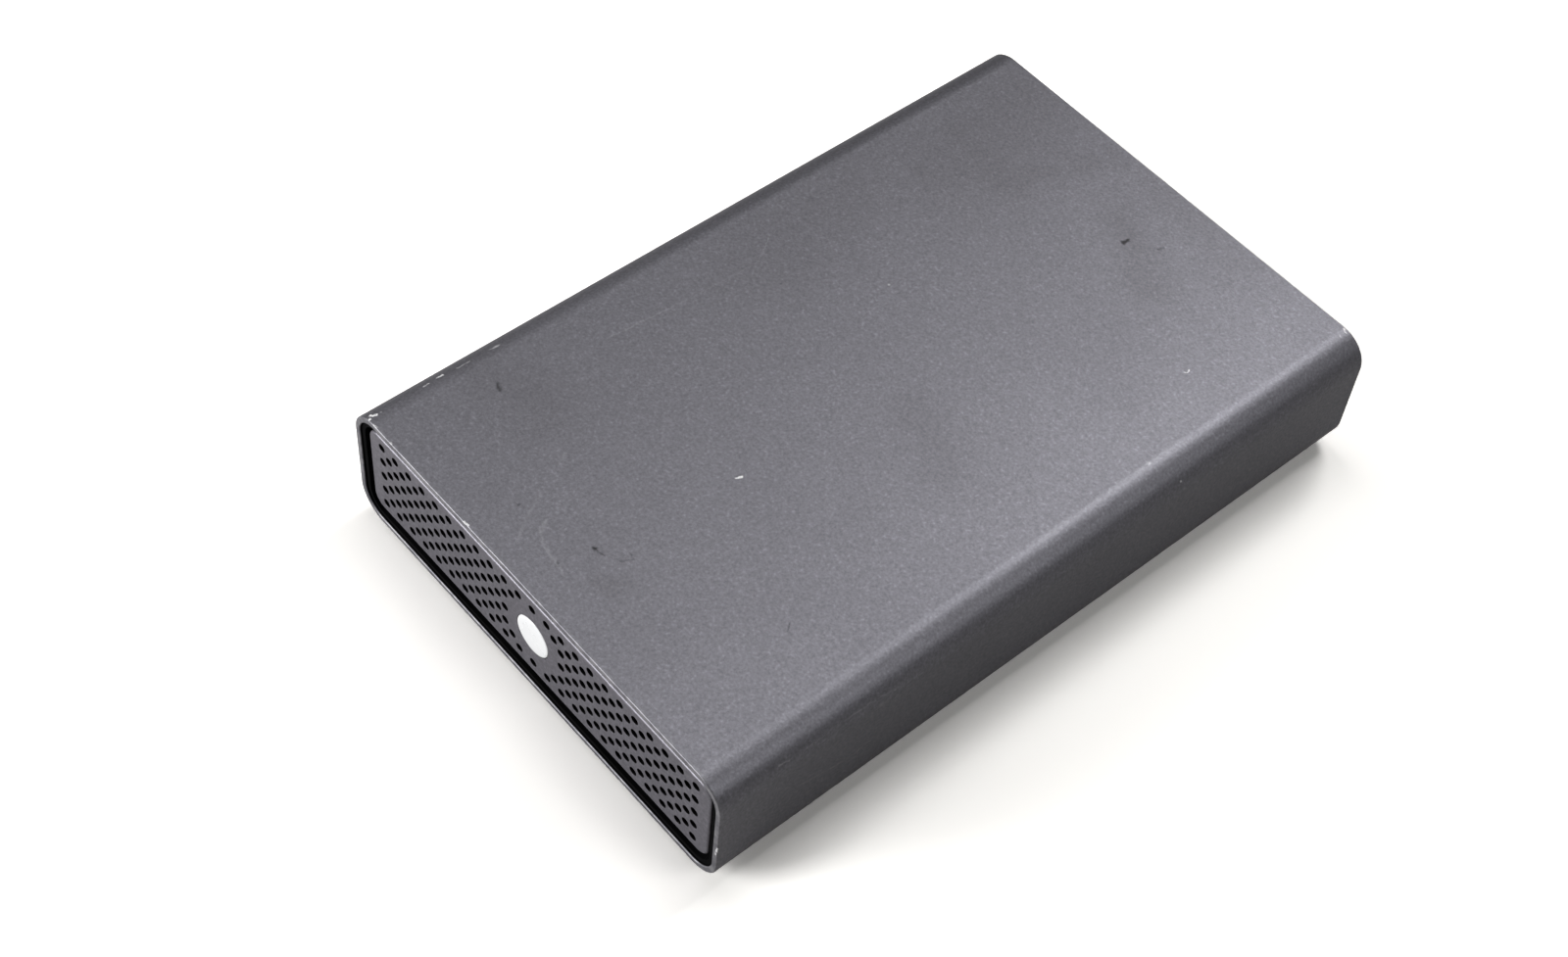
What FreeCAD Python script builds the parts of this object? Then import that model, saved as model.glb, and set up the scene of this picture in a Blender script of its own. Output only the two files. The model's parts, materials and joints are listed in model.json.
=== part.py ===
"""Desktop external hard drive: an extruded aluminium sleeve round a 3.5-inch drive.

The sleeve is open at both ends. A perforated plate stands in a black bezel at the front,
and a plate with the ports and the power button stands in a like bezel at the rear.
Both bezels hook into a sheet steel tray that carries the drive on rubber grommets.

Millimetres. +X is the right-hand side seen from the front, +Y the rear, +Z up.
The origin is on the table, under the middle of the sleeve.
"""
import FreeCAD, Part

import math
import os

V = FreeCAD.Vector

# Standard 3.5-inch drive
DRIVE_L = 147.0
DRIVE_W = 101.6
DRIVE_H = 26.1
DRIVE_CORNER = 3.0
COVER_T = 1.0
COVER_INSET = 1.5
COVER_PAD_H = 0.4
COVER_PAD_INSET = 9.0
DRIVE_BOARD_L = 60.0
DRIVE_BOARD_T = 1.0
POCKET_FIT = 0.1
WAIST_DEPTH = 1.2
WAIST_L = 62.0
WAIST_H = 12.0
DRIVE_HOLE_INSET = 3.175
DRIVE_HOLE_SPAN_Y = 44.45
DRIVE_HOLE_FROM_REAR = 41.28
DRIVE_HOLE_DEPTH = 6.0
HOLE_TO_BOARD = 3.625

# Room left round the drive, which sets the size of the sleeve
SIDE_ROOM = 12.1
TOP_ROOM = 1.5
FRONT_BAY = 16.0
REAR_BAY = 34.0

# Sleeve
WALL = 1.6
CORNER_R = 8.0
RIM_CHAMFER = 0.2

# Feet
FOOT_D = 12.0
FOOT_PROUD = 1.6
FOOT_INSET = 18.0
FOOT_SIDES = 24

# Tray, grommets and screws
TRAY_T = 1.0
TRAY_LIFT = 3.0
TRAY_FLANGE_H = 10.0
TRAY_SIDE_GAP = 3.5
TRAY_BEND_R = 1.0
TRAY_END_GAP = 0.5
GROMMET_D = 9.0
GROMMET_NECK_D = 6.0
GROMMET_TOP_T = 1.2
GROMMET_LOW_T = 1.0
DRIVE_SCREW_D = 3.5
DRIVE_SCREW_HEAD_D = 6.0
DRIVE_SCREW_HEAD_T = 1.4
DRIVE_SCREW_GRIP = 5.0
STANDOFF_D = 8.0
TRAY_SCREW_D = 3.0
TRAY_SCREW_HEAD_D = 5.6
TRAY_SCREW_HEAD_T = 1.0
SCREW_FIT = 0.1
FASTENER_SIDES = 6

# Plates at the two ends
PANEL_RECESS = 0.9
PANEL_GAP = 2.8
PANEL_SIDE_GAP = 2.4
PANEL_T = 1.5
PANEL_CORNER_R = 3.6
PANEL_EDGE = 0.4

# Staggered rows of ventilation holes
HOLE_D = 2.1
HOLE_SIDES = 8
HOLE_PITCH = 5.05
ROW_PITCH = 2.55
HOLE_MARGIN_SIDE = 4.4
HOLE_MARGIN_TOP = 3.3
PORT_MARGIN = 7.5

# Bezels
BEZEL_FIT = 0.15
BEZEL_SETBACK = 0.6
BEZEL_WALL = 1.2
CHANNEL_DEPTH = 5.0
BEZEL_FLOOR_T = 1.5
FRAME_INSET = 0.8
FRAME_WALL = 1.6
TONGUE_X = 30.0
TONGUE_W = 12.0
TONGUE_L = 10.0
TONGUE_T = 2.0
HOOK_L = 3.0
HOOK_FIT = 0.2

# Status light at the middle of the front plate
LIGHT_D = 11.0
LIGHT_PROUD = 0.2
LIGHT_FIT = 0.1
LIGHT_MARGIN = 3.5
LIGHT_FLANGE = 1.5
LIGHT_FLANGE_T = 1.0
STEM_D = 4.6
STEM_FIT = 0.2
BRIDGE_MARGIN = 3.0
BRIDGE_T = 4.6
LED_W = 3.2
LED_H = 2.4
LED_T = 1.9
LED_GAP = 0.3
LED_BOARD_W = 24.0
LED_BOARD_H = 16.0
LED_BOARD_T = 1.0
PEG_D = 2.0
PEG_X = 8.0
PEG_FIT = 0.1

# Flat cable over the drive
RIBBON_X = -8.0
RIBBON_W = 6.0
RIBBON_T = 0.3
RIBBON_LIFT = 0.3
RIBBON_BEND_R = 4.0
SOCKET_W = 8.0
SOCKET_D = 2.6
SOCKET_H = 2.5

# Bridge board behind the drive
BOARD_SIDE_ROOM = 11.0
BOARD_L = 24.0
BOARD_T = 1.6
BOARD_REAR_GAP = 0.8
RAIL_WALL = 2.0
RAIL_LIP = 1.0
RAIL_GRIP = 1.2
RAIL_L = 20.0
RAIL_FIT = 0.15
CHIP_W = 9.0
CHIP_T = 1.2
COIL_W = 7.0
COIL_T = 4.0
CHIP_GAP = 1.5

# Drive connector
SATA_X = 20.68
SATA_W = 35.4
SATA_H = 4.6
SATA_FROM_BASE = 4.0
NOTCH_D = 7.0
NOTCH_H = 8.0
NOTCH_ROOM = 2.0
PLUG_T = 2.5
BLADE_W = 33.0
BLADE_T = 1.2
BLADE_L = 4.0
SATA_FIT = 0.2
SATA_GAP = 0.4
SATA_SEAT_L = 4.0

# Ports on the rear plate
PORT_PITCH = 20.0
PORT_FIT = 0.2
USB_W = 8.94
USB_H = 3.26
USB_L = 8.6
USB_R = 1.6
USB_SHELL_T = 0.3
USB_TONGUE_W = 6.6
USB_TONGUE_T = 0.7
USB_TONGUE_BACK = 1.0
JACK_W = 9.0
JACK_L = 12.0
JACK_AXIS_H = 6.5
JACK_HOLE_D = 8.4
JACK_BORE_D = 6.3
JACK_BORE_L = 9.0
JACK_PIN_D = 2.1
JACK_PIN_BACK = 1.0
LOCK_SLOT_W = 7.0
LOCK_SLOT_H = 3.0
LOCK_PLATE_W = 14.0
LOCK_PLATE_H = 12.0
LOCK_PLATE_T = 1.2

# Power button
BUTTON_D = 6.4
BUTTON_PROUD = 0.6
BUTTON_CHAMFER = 0.3
BUTTON_TRAVEL = 0.8
BUTTON_FIT = 0.3
BUTTON_FLANGE = 1.2
BUTTON_FLANGE_T = 1.0
BUTTON_SEAT_GAP = 0.1
BUTTON_STOP_GAP = 0.4
PLUNGER_W = 2.6
PLUNGER_IN = 1.2
SWITCH_W = 7.0
SWITCH_L = 6.0

# Sizes that follow
LENGTH = FRONT_BAY + DRIVE_L + REAR_BAY
WIDTH = DRIVE_W + 2 * (SIDE_ROOM + WALL)
DRIVE_HOLE_SPAN_X = DRIVE_W - 2 * DRIVE_HOLE_INSET
DRIVE_BOARD_W = DRIVE_HOLE_SPAN_X - 2 * HOLE_TO_BOARD
DRIVE_LIFT = TRAY_LIFT + TRAY_T + GROMMET_TOP_T
HEIGHT = WALL + DRIVE_LIFT + DRIVE_H + TOP_ROOM + WALL
INNER_W = WIDTH - 2 * WALL
INNER_H = HEIGHT - 2 * WALL
INNER_R = CORNER_R - WALL
MID_Z = FOOT_PROUD + HEIGHT / 2
FLOOR_Z = FOOT_PROUD + WALL
TRAY_Z = FLOOR_Z + TRAY_LIFT
DRIVE_Z = FLOOR_Z + DRIVE_LIFT
DRIVE_TOP_Z = DRIVE_Z + DRIVE_H
DRIVE_FRONT_Y = FRONT_BAY - LENGTH / 2
DRIVE_REAR_Y = DRIVE_FRONT_Y + DRIVE_L
PANEL_W = INNER_W - 2 * PANEL_SIDE_GAP
PANEL_H = INNER_H - 2 * PANEL_GAP
PANEL_BACK = PANEL_RECESS + PANEL_T
FRAME_W = PANEL_W - 2 * FRAME_INSET
FRAME_H = PANEL_H - 2 * FRAME_INSET
OPENING_W = FRAME_W - 2 * FRAME_WALL
OPENING_H = FRAME_H - 2 * FRAME_WALL
BEZEL_BACK = CHANNEL_DEPTH + BEZEL_FLOOR_T
HOOK_TIP = BEZEL_BACK + TONGUE_L
HOOK_HEEL = HOOK_TIP - HOOK_L
BRIDGE_FRONT = PANEL_BACK + LIGHT_FLANGE_T
BRIDGE_BACK = BRIDGE_FRONT + BRIDGE_T
BOARD_W = 3 * PORT_PITCH + 2 * BOARD_SIDE_ROOM
SATA_Z = DRIVE_Z + SATA_FROM_BASE
BOARD_TOP_Z = SATA_Z - SATA_H / 2
BOARD_Z = BOARD_TOP_Z - BOARD_T
BOARD_REAR_Y = LENGTH / 2 - PANEL_BACK - BOARD_REAR_GAP
BOARD_FRONT_Y = BOARD_REAR_Y - BOARD_L
SOCKET_REAR_Y = BOARD_FRONT_Y + SATA_SEAT_L
NOTCH_Y = DRIVE_REAR_Y - NOTCH_D
DRIVE_BOARD_Y = NOTCH_Y + PLUG_T - DRIVE_BOARD_L
AXIS_Z = BOARD_TOP_Z + JACK_AXIS_H
USB_Z = BOARD_TOP_Z + USB_H / 2
JACK_MOUTH_Y = LENGTH / 2 - PANEL_BACK - PORT_FIT
JACK_X = -1.5 * PORT_PITCH
USB_X = -0.5 * PORT_PITCH
BUTTON_X = 0.5 * PORT_PITCH
LOCK_X = 1.5 * PORT_PITCH
FLANGE_BACK = PANEL_BACK + BUTTON_SEAT_GAP + BUTTON_FLANGE_T
SWITCH_FACE = FLANGE_BACK + BUTTON_TRAVEL + BUTTON_STOP_GAP

# The two ends, as the sign of their Y
FRONT = -1
REAR = 1

UP = V(0, 0, 1)
BACKWARD = V(0, 1, 0)


def y_at(end, depth):
    """Y of a plane that lies a given depth inside the rim of one end."""
    return end * (LENGTH / 2 - depth)


def block(x0, x1, y0, y1, z0, z1):
    """Plain block between two corners given in any order."""
    low = V(min(x0, x1), min(y0, y1), min(z0, z1))
    return Part.makeBox(abs(x1 - x0), abs(y1 - y0), abs(z1 - z0), low)


def edges_along(shape, direction):
    """Straight edges that run in one direction."""
    return [e for e in shape.Edges if abs(e.tangentAt(e.FirstParameter).dot(direction)) > 0.999]


def edges_at_y(shape, y):
    """Edges that lie wholly in a plane across Y."""
    boxes = [(e, e.BoundBox) for e in shape.Edges]
    return [e for e, box in boxes if abs(box.YMin - y) < 1e-6 and abs(box.YMax - y) < 1e-6]


def rounded_slab(width, height, radius, y0, y1, x=0.0, z=MID_Z):
    """Rounded rectangle drawn out along Y."""
    slab = block(x - width / 2, x + width / 2, y0, y1, z - height / 2, z + height / 2)
    return slab.makeFillet(radius, edges_along(slab, BACKWARD))


def rod_y(diameter, y0, y1, x, z):
    """Round rod along Y."""
    return Part.makeCylinder(diameter / 2, abs(y1 - y0), V(x, min(y0, y1), z), BACKWARD)


def prism(sides, diameter, length, base, along):
    """Regular prism with the section area of a round rod, for vents, feet, pegs and fasteners."""
    step = 2 * math.pi / sides
    radius = diameter / 2 * math.sqrt(step / math.sin(step))
    turn = FreeCAD.Rotation(UP, along)
    points = []
    for k in range(sides):
        angle = (k + 0.5) * step
        points.append(base + turn.multVec(V(radius * math.cos(angle), radius * math.sin(angle), 0)))
    return Part.Face(Part.makePolygon(points + points[:1])).extrude(along * length)


def small_rod(diameter, length, base, along):
    """Rod for pegs, screws and their holes."""
    return prism(FASTENER_SIDES, diameter, length, base, along)


def foot_places():
    """Centres of the four feet, which also cover the tray screws."""
    x = WIDTH / 2 - FOOT_INSET
    y = LENGTH / 2 - FOOT_INSET
    return [V(sx * x, sy * y, 0) for sx in (-1, 1) for sy in (-1, 1)]


def drive_hole_places():
    """Centres of the four tapped holes in the underside of the drive."""
    rear = DRIVE_REAR_Y - DRIVE_HOLE_FROM_REAR
    x = DRIVE_HOLE_SPAN_X / 2
    return [V(sx * x, y, 0) for sx in (-1, 1) for y in (rear, rear - DRIVE_HOLE_SPAN_Y)]


def vent_places():
    """Vent lattice about the middle of a plate: every second row is half a pitch inwards."""
    full = int((PANEL_W - 2 * HOLE_MARGIN_SIDE) / HOLE_PITCH) + 1
    rows = int((PANEL_H - 2 * HOLE_MARGIN_TOP) / ROW_PITCH) + 1
    places = []
    for row in range(rows):
        count = full - row % 2
        z = (row - (rows - 1) / 2) * ROW_PITCH
        for k in range(count):
            places.append(((k - (count - 1) / 2) * HOLE_PITCH, z))
    return places


def vents(end, places):
    """Vent holes right through an end plate."""
    inward = V(0, -end, 0)
    face_y = y_at(end, PANEL_RECESS)
    rods = [prism(HOLE_SIDES, HOLE_D, PANEL_T, V(x, face_y, MID_Z + z), inward) for x, z in places]
    return Part.makeCompound(rods)


def end_plate(end):
    """Plate at one end, with the edge of its outer face broken."""
    face_y = y_at(end, PANEL_RECESS)
    plate = rounded_slab(PANEL_W, PANEL_H, PANEL_CORNER_R, face_y, y_at(end, PANEL_BACK))
    return plate.makeChamfer(PANEL_EDGE, edges_at_y(plate, face_y))


def sleeve():
    """Extruded sleeve with broken rims and screw holes under the feet."""
    ends = (y_at(FRONT, 0), y_at(REAR, 0))
    outer = rounded_slab(WIDTH, HEIGHT, CORNER_R, *ends)
    inner = rounded_slab(INNER_W, INNER_H, INNER_R, *ends)
    tube = outer.cut(inner)
    tube = tube.makeChamfer(RIM_CHAMFER, edges_at_y(tube, ends[0]) + edges_at_y(tube, ends[1]))
    holes = [tray_screw(place, SCREW_FIT) for place in foot_places()]
    return tube.cut(Part.makeCompound(holes))


def front_panel():
    """Perforated front plate, bare round the status light."""
    bare = LIGHT_D / 2 + LIGHT_MARGIN
    places = [(x, z) for x, z in vent_places() if math.hypot(x, z) > bare]
    window = rod_y(LIGHT_D + 2 * LIGHT_FIT, y_at(FRONT, 0), y_at(FRONT, PANEL_BACK), 0, MID_Z)
    return end_plate(FRONT).cut(vents(FRONT, places)).cut(window)


def lock_slot(y0, y1):
    """Slot for a security lock, through the rear plate and the steel behind it."""
    half_w = LOCK_SLOT_W / 2
    half_h = LOCK_SLOT_H / 2
    return block(LOCK_X - half_w, LOCK_X + half_w, y0, y1, MID_Z - half_h, MID_Z + half_h)


def rear_panel():
    """Rear plate with vents at both sides and the port openings between them."""
    ports = BOARD_W / 2 + PORT_MARGIN
    places = [(x, z) for x, z in vent_places() if abs(x) > ports]
    span = (y_at(REAR, 0), y_at(REAR, PANEL_BACK))
    openings = [
        rounded_slab(USB_W + 2 * PORT_FIT, USB_H + 2 * PORT_FIT, USB_R + PORT_FIT, *span, USB_X, USB_Z),
        rod_y(JACK_HOLE_D, *span, JACK_X, AXIS_Z),
        rod_y(BUTTON_D + 2 * BUTTON_FIT, *span, BUTTON_X, AXIS_Z),
        lock_slot(*span),
    ]
    return end_plate(REAR).cut(vents(REAR, places)).cut(Part.makeCompound(openings))


def bezel_ring(end):
    """Moulded ring: a lip along the sleeve wall, a channel, and a frame behind the plate."""
    lip_w = INNER_W - 2 * BEZEL_FIT
    lip_h = INNER_H - 2 * BEZEL_FIT
    lip_r = INNER_R - BEZEL_FIT
    well_w = lip_w - 2 * BEZEL_WALL
    well_h = lip_h - 2 * BEZEL_WALL
    well_r = max(lip_r - BEZEL_WALL, BEZEL_WALL)
    start = y_at(end, BEZEL_SETBACK)
    seat = y_at(end, PANEL_BACK)
    floor = y_at(end, CHANNEL_DEPTH)
    back = y_at(end, BEZEL_BACK)
    ring = rounded_slab(lip_w, lip_h, lip_r, start, back)
    well = rounded_slab(well_w, well_h, well_r, start, floor)
    frame = block(-FRAME_W / 2, FRAME_W / 2, seat, floor, MID_Z - FRAME_H / 2, MID_Z + FRAME_H / 2)
    frame = frame.makeChamfer(PANEL_CORNER_R - FRAME_INSET, edges_along(frame, BACKWARD))
    opening = block(-OPENING_W / 2, OPENING_W / 2, start, back, MID_Z - OPENING_H / 2, MID_Z + OPENING_H / 2)
    return ring.cut(well.cut(frame)).cut(opening)


def bezel_tongues(end):
    """Two tongues under the tray, each with a hook that stands in a window of the tray."""
    root = y_at(end, CHANNEL_DEPTH)
    heel = y_at(end, HOOK_HEEL)
    tip = y_at(end, HOOK_TIP)
    solids = []
    for x in (-TONGUE_X, TONGUE_X):
        sides = (x - TONGUE_W / 2, x + TONGUE_W / 2)
        solids.append(block(*sides, root, tip, TRAY_Z - TONGUE_T, TRAY_Z))
        solids.append(block(*sides, heel, tip, TRAY_Z, TRAY_Z + TRAY_T))
    return solids


def front_bezel():
    """Front bezel with the bridge that holds the status light and its board."""
    half_w = LIGHT_D / 2 + LIGHT_FLANGE + BRIDGE_MARGIN
    half_h = (OPENING_H + FRAME_WALL) / 2
    front = y_at(FRONT, BRIDGE_FRONT)
    back = y_at(FRONT, BRIDGE_BACK)
    solids = bezel_tongues(FRONT)
    solids.append(block(-half_w, half_w, front, back, MID_Z - half_h, MID_Z + half_h))
    for x in (-PEG_X, PEG_X):
        solids.append(small_rod(PEG_D, LED_BOARD_T, V(x, back, MID_Z), BACKWARD))
    bore = small_rod(STEM_D + 2 * STEM_FIT, BRIDGE_T, V(0, front, MID_Z), BACKWARD)
    return bezel_ring(FRONT).fuse(solids).removeSplitter().cut(bore)


def rear_bezel():
    """Rear bezel with two grooved rails that carry the bridge board."""
    start = y_at(REAR, CHANNEL_DEPTH)
    stop = y_at(REAR, BEZEL_BACK + RAIL_L)
    edge = BOARD_W / 2 + RAIL_FIT
    low = BOARD_Z - RAIL_FIT
    high = BOARD_TOP_Z + RAIL_FIT
    solids = bezel_tongues(REAR)
    for side in (-1, 1):
        inner = side * (edge - RAIL_GRIP)
        outer = side * (edge + RAIL_WALL)
        solids.append(block(inner, outer, start, stop, low - RAIL_LIP, high + RAIL_LIP))
    groove = block(-edge, edge, y_at(REAR, PANEL_BACK), stop, low, high)
    return bezel_ring(REAR).fuse(solids).removeSplitter().cut(groove)


def status_lens():
    """Round light window with a flange behind the plate and a stem towards the lamp."""
    window = rod_y(LIGHT_D, y_at(FRONT, PANEL_RECESS - LIGHT_PROUD), y_at(FRONT, PANEL_BACK), 0, MID_Z)
    flange_root = V(0, y_at(FRONT, PANEL_BACK), MID_Z)
    flange = small_rod(LIGHT_D + 2 * LIGHT_FLANGE, LIGHT_FLANGE_T, flange_root, BACKWARD)
    stem_root = V(0, y_at(FRONT, BRIDGE_FRONT), MID_Z)
    stem = small_rod(STEM_D, BRIDGE_T - LED_T - LED_GAP, stem_root, BACKWARD)
    return window.fuse([flange, stem])


def status_board():
    """Small circuit board behind the light, with the socket of the flat cable."""
    front = y_at(FRONT, BRIDGE_BACK)
    back = front + LED_BOARD_T
    top = MID_Z + LED_BOARD_H / 2
    board = block(-LED_BOARD_W / 2, LED_BOARD_W / 2, front, back, top - LED_BOARD_H, top)
    socket_x = (RIBBON_X - SOCKET_W / 2, RIBBON_X + SOCKET_W / 2)
    socket = block(*socket_x, back, back + SOCKET_D, top - SOCKET_H, top)
    holes = []
    for x in (-PEG_X, PEG_X):
        holes.append(small_rod(PEG_D + 2 * PEG_FIT, LED_BOARD_T, V(x, front, MID_Z), BACKWARD))
    return board.fuse(socket).removeSplitter().cut(Part.makeCompound(holes))


def status_lamp():
    """Lamp on the board, inside the bore of the bridge."""
    back = y_at(FRONT, BRIDGE_BACK)
    return block(-LED_W / 2, LED_W / 2, back - LED_T, back, MID_Z - LED_H / 2, MID_Z + LED_H / 2)


def status_ribbon():
    """Flat cable that rises from the light board, lies over the drive and drops to the bridge board."""
    front = y_at(FRONT, BRIDGE_BACK) + LED_BOARD_T + SOCKET_D / 2
    rear = BOARD_FRONT_Y + SOCKET_D / 2
    start = MID_Z + LED_BOARD_H / 2
    finish = BOARD_TOP_Z + SOCKET_H
    top = DRIVE_TOP_Z + RIBBON_LIFT + RIBBON_T / 2
    r = RIBBON_BEND_R
    bend = r * math.sqrt(0.5)
    corners = [V(0, front, start), V(0, front, top - r), V(0, front + r, top)]
    corners += [V(0, rear - r, top), V(0, rear, top - r), V(0, rear, finish)]
    path = [
        Part.LineSegment(corners[0], corners[1]).toShape(),
        Part.Arc(corners[1], V(0, front + r - bend, top - r + bend), corners[2]).toShape(),
        Part.LineSegment(corners[2], corners[3]).toShape(),
        Part.Arc(corners[3], V(0, rear - r + bend, top - r + bend), corners[4]).toShape(),
        Part.LineSegment(corners[4], corners[5]).toShape(),
    ]
    a = RIBBON_W / 2
    b = RIBBON_T / 2
    section = [V(-a, -b, 0), V(a, -b, 0), V(a, b, 0), V(-a, b, 0), V(-a, -b, 0)]
    section = Part.makePolygon([corners[0] + point for point in section])
    ribbon = Part.Wire(path).makePipeShell([section], True, False)
    ribbon.translate(V(RIBBON_X, 0, 0))
    return ribbon


def feet():
    """Four round rubber feet under the sleeve."""
    return Part.makeCompound([prism(FOOT_SIDES, FOOT_D, FOOT_PROUD, place, UP) for place in foot_places()])


def drive_tray():
    """Bent sheet tray: a floor with two turned-up sides, and holes for what it carries."""
    half = DRIVE_W / 2 + TRAY_SIDE_GAP
    ends = (y_at(FRONT, BEZEL_BACK + TRAY_END_GAP), y_at(REAR, BEZEL_BACK + TRAY_END_GAP))
    floor_z = TRAY_Z + TRAY_T
    top = floor_z + TRAY_FLANGE_H
    outside = block(-half - TRAY_T, half + TRAY_T, *ends, TRAY_Z, top)
    inside = block(-half, half, *ends, floor_z, top)
    outside = outside.makeFillet(TRAY_BEND_R + TRAY_T, low_edges(outside))
    inside = inside.makeFillet(TRAY_BEND_R, low_edges(inside))
    cuts = []
    for place in drive_hole_places():
        cuts.append(small_rod(GROMMET_NECK_D + 2 * SCREW_FIT, TRAY_T, place + V(0, 0, TRAY_Z), UP))
    for place in foot_places():
        cuts.append(small_rod(TRAY_SCREW_D + 2 * SCREW_FIT, TRAY_T, place + V(0, 0, TRAY_Z), UP))
    for end in (FRONT, REAR):
        window_y = (y_at(end, HOOK_HEEL - HOOK_FIT), y_at(end, HOOK_TIP + HOOK_FIT))
        for x in (-TONGUE_X, TONGUE_X):
            reach = TONGUE_W / 2 + HOOK_FIT
            cuts.append(block(x - reach, x + reach, *window_y, TRAY_Z, floor_z))
    return outside.cut(inside).cut(Part.makeCompound(cuts))


def low_edges(shape):
    """The two lowest edges along Y."""
    low = shape.BoundBox.ZMin
    return [e for e in edges_along(shape, BACKWARD) if e.BoundBox.ZMax < low + 1e-6]


def tray_standoffs():
    """Four six-sided spacers between the sleeve floor and the tray."""
    solids = []
    for place in foot_places():
        base = place + V(0, 0, FLOOR_Z)
        points = []
        for k in range(7):
            angle = k * math.pi / 3
            points.append(base + V(STANDOFF_D / 2 * math.cos(angle), STANDOFF_D / 2 * math.sin(angle), 0))
        spacer = Part.Face(Part.makePolygon(points)).extrude(UP * TRAY_LIFT)
        solids.append(spacer.cut(small_rod(TRAY_SCREW_D + 2 * SCREW_FIT, TRAY_LIFT, base, UP)))
    return Part.makeCompound(solids)


def tray_screw(place, room):
    """Low-headed screw from under the sleeve up through the tray, grown by a clearance."""
    base = place + V(0, 0, FOOT_PROUD)
    head = small_rod(TRAY_SCREW_HEAD_D + 2 * room, TRAY_SCREW_HEAD_T + room, base, UP)
    shank = small_rod(TRAY_SCREW_D + 2 * room, TRAY_Z + TRAY_T - FOOT_PROUD, base, UP)
    return head.fuse(shank).removeSplitter()


def tray_screws():
    """Four screws that hold the tray in the sleeve."""
    return Part.makeCompound([tray_screw(place, 0) for place in foot_places()])


def grommets():
    """Four rubber grommets, each with a flange above and below the tray."""
    low = TRAY_Z - GROMMET_LOW_T
    solids = []
    for place in drive_hole_places():
        base = place + V(0, 0, low)
        stack = GROMMET_LOW_T + TRAY_T + GROMMET_TOP_T
        neck = small_rod(GROMMET_NECK_D, stack, base, UP)
        lower = small_rod(GROMMET_D, GROMMET_LOW_T, base, UP)
        upper = small_rod(GROMMET_D, GROMMET_TOP_T, place + V(0, 0, TRAY_Z + TRAY_T), UP)
        bore = small_rod(DRIVE_SCREW_D + 2 * SCREW_FIT, stack, base, UP)
        solids.append(neck.fuse([lower, upper]).removeSplitter().cut(bore))
    return Part.makeCompound(solids)


def drive_screws():
    """Four screws through the grommets into the drive."""
    seat = TRAY_Z - GROMMET_LOW_T
    solids = []
    for place in drive_hole_places():
        base = place + V(0, 0, seat - DRIVE_SCREW_HEAD_T)
        head = small_rod(DRIVE_SCREW_HEAD_D, DRIVE_SCREW_HEAD_T, base, UP)
        shank = small_rod(DRIVE_SCREW_D, DRIVE_Z + DRIVE_SCREW_GRIP - base.z, base, UP)
        solids.append(head.fuse(shank).removeSplitter())
    return Part.makeCompound(solids)


def cornered_slab(width, corner, y0, y1, z0, z1):
    """Block with cut-off upright corners, centred on X."""
    slab = block(-width / 2, width / 2, y0, y1, z0, z1)
    return slab.makeChamfer(corner, edges_along(slab, UP))


def drive_base():
    """Cast body of the drive: waisted sides, a pocket for its board and a notch for its plug."""
    body_top = DRIVE_TOP_Z - COVER_T
    body = cornered_slab(DRIVE_W, DRIVE_CORNER, DRIVE_FRONT_Y, DRIVE_REAR_Y, DRIVE_Z, body_top)
    half_pocket = DRIVE_BOARD_W / 2 + POCKET_FIT
    pocket_y = (DRIVE_BOARD_Y - POCKET_FIT, DRIVE_BOARD_Y + DRIVE_BOARD_L + POCKET_FIT)
    reach = SATA_W / 2 + NOTCH_ROOM
    cuts = [
        block(-half_pocket, half_pocket, *pocket_y, DRIVE_Z, DRIVE_Z + DRIVE_BOARD_T),
        block(SATA_X - reach, SATA_X + reach, NOTCH_Y, DRIVE_REAR_Y, DRIVE_Z, DRIVE_Z + NOTCH_H),
    ]
    mid_y = (DRIVE_FRONT_Y + DRIVE_REAR_Y) / 2
    mid_z = (DRIVE_Z + body_top) / 2
    waist_y = (mid_y - WAIST_L / 2, mid_y + WAIST_L / 2)
    waist_z = (mid_z - WAIST_H / 2, mid_z + WAIST_H / 2)
    for side in (-1, 1):
        cuts.append(block(side * (DRIVE_W / 2 - WAIST_DEPTH), side * DRIVE_W / 2, *waist_y, *waist_z))
    for place in drive_hole_places():
        cuts.append(small_rod(DRIVE_SCREW_D + 2 * SCREW_FIT, DRIVE_HOLE_DEPTH, place + V(0, 0, DRIVE_Z), UP))
    return body.cut(Part.makeCompound(cuts))


def drive_cover():
    """Pressed lid of the drive with a raised pad."""
    low = DRIVE_TOP_Z - COVER_T
    step = DRIVE_TOP_Z - COVER_PAD_H
    pad_y = (DRIVE_FRONT_Y + COVER_PAD_INSET, DRIVE_REAR_Y - COVER_PAD_INSET)
    lid_y = (DRIVE_FRONT_Y + COVER_INSET, DRIVE_REAR_Y - COVER_INSET)
    lid = cornered_slab(DRIVE_W - 2 * COVER_INSET, DRIVE_CORNER, *lid_y, low, step)
    pad = cornered_slab(DRIVE_W - 2 * COVER_PAD_INSET, DRIVE_CORNER, *pad_y, step, DRIVE_TOP_Z)
    return lid.fuse(pad)


def drive_board():
    """Circuit board in the pocket under the drive."""
    half = DRIVE_BOARD_W / 2
    return block(-half, half, DRIVE_BOARD_Y, DRIVE_BOARD_Y + DRIVE_BOARD_L, DRIVE_Z, DRIVE_Z + DRIVE_BOARD_T)


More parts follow.
